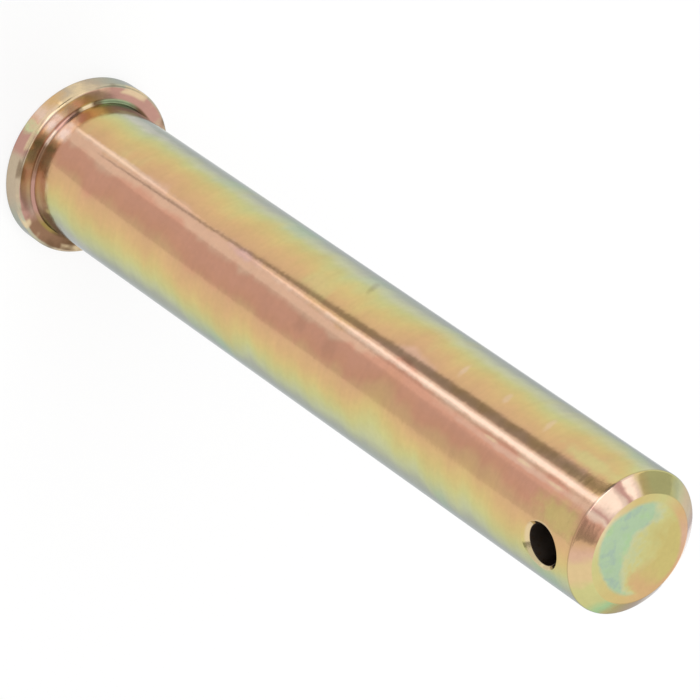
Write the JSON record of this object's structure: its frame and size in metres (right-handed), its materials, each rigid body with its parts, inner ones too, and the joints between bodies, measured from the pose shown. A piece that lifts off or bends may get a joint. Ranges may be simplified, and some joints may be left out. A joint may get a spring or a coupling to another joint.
{
  "type": "stabilizer pin",
  "caption": "Straight round steel pin with a thin flat head, a chamfered tip and a cross hole near the tip for a locking pin.",
  "frame": {"origin": "centre of the head's outer face, which the pin stands on", "axes": "+Z along the pin from the head to the tip; Y along the cross hole, whose mouth at -Y is the one that the front view shows"},
  "size_m": [0.024, 0.024, 0.1175],
  "materials": {
    "zinc": "yellow iridescent zinc plate over turned steel"
  },
  "bodies": {
    "root": {"pin": "zinc"}
  },
  "joints": []
}
